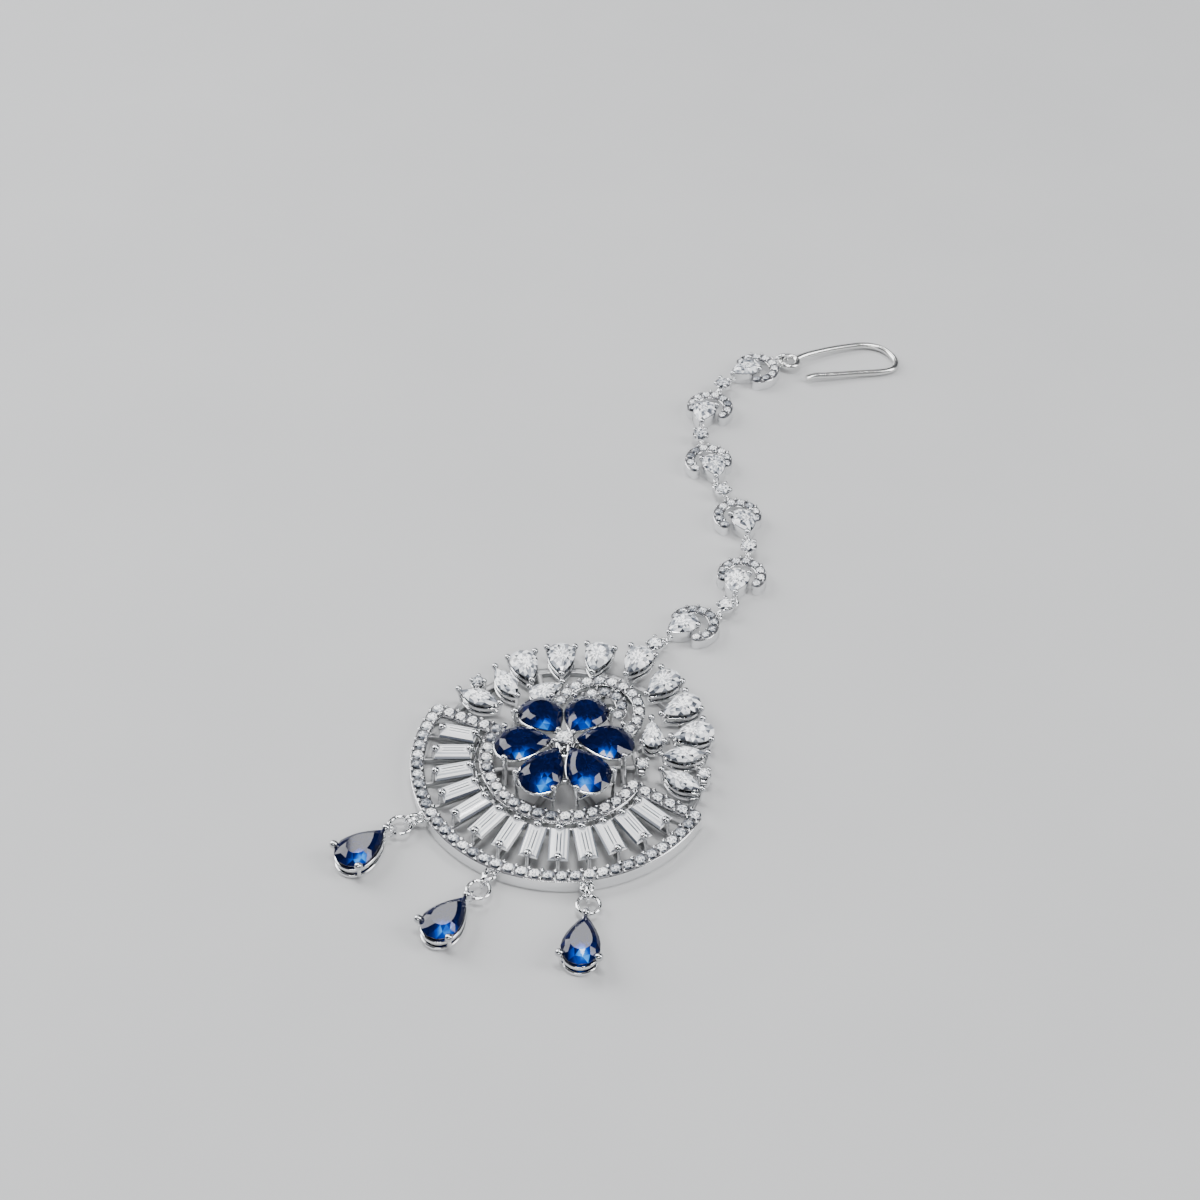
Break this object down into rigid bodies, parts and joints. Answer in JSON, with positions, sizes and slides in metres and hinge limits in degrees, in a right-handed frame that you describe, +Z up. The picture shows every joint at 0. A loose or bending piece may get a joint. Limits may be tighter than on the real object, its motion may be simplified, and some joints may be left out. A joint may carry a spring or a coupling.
{
  "type": "maang tikka",
  "caption": "Maang tikka lying flat: half-round pendant with a flower of blue pears, baguette fan, white crown, lying drops, crescent chain and hook.",
  "frame": {"origin": "centre of the flat underside of the pendant's hub, on the surface it lies on", "axes": "+Y along the pendant's axis of symmetry, from the fan towards the chain; +X to the right seen from above; +Z up, out of the surface"},
  "size_m": [0.0424, 0.1411, 0.0077],
  "materials": {
    "silver": "bright rhodium plate",
    "crystal": "clear white cut stone",
    "sapphire": "deep blue cut stone"
  },
  "bodies": {
    "root": {"pendant_frame": "silver", "baguette_1": "crystal", "baguette_2": "crystal", "baguette_3": "crystal", "baguette_4": "crystal", "baguette_5": "crystal", "baguette_6": "crystal", "baguette_7": "crystal", "baguette_8": "crystal", "baguette_9": "crystal", "baguette_10": "crystal", "baguette_11": "crystal", "baguette_12": "crystal", "baguette_13": "crystal", "petal_1": "sapphire", "petal_2": "sapphire", "petal_3": "sapphire", "petal_4": "sapphire", "petal_5": "sapphire", "petal_6": "sapphire", "centre_stone": "crystal", "crown_pear_1": "crystal", "crown_pear_2": "crystal", "crown_pear_3": "crystal", "crown_pear_4": "crystal", "crown_pear_5": "crystal", "crown_pear_6": "crystal", "crown_pear_7": "crystal", "crown_marquise_1": "crystal", "crown_marquise_2": "crystal", "crown_marquise_3": "crystal", "crown_marquise_4": "crystal", "crown_small_pear_1": "crystal", "crown_small_pear_2": "crystal", "drop_link_left": "silver", "drop_ring_left": "silver", "drop_setting_left": "silver", "drop_stone_left": "sapphire", "drop_link_middle": "silver", "drop_ring_middle": "silver", "drop_setting_middle": "silver", "drop_stone_middle": "sapphire", "drop_link_right": "silver", "drop_ring_right": "silver", "drop_setting_right": "silver", "drop_stone_right": "sapphire", "connector_1": "silver", "connector_2": "silver", "connector_3": "silver", "connector_4": "silver", "connector_5": "silver", "connector_6": "silver", "chain_link_1": "silver", "chain_link_2": "silver", "chain_link_3": "silver", "chain_link_4": "silver", "chain_link_5": "silver", "chain_link_6": "silver", "hook": "silver"}
  },
  "joints": []
}
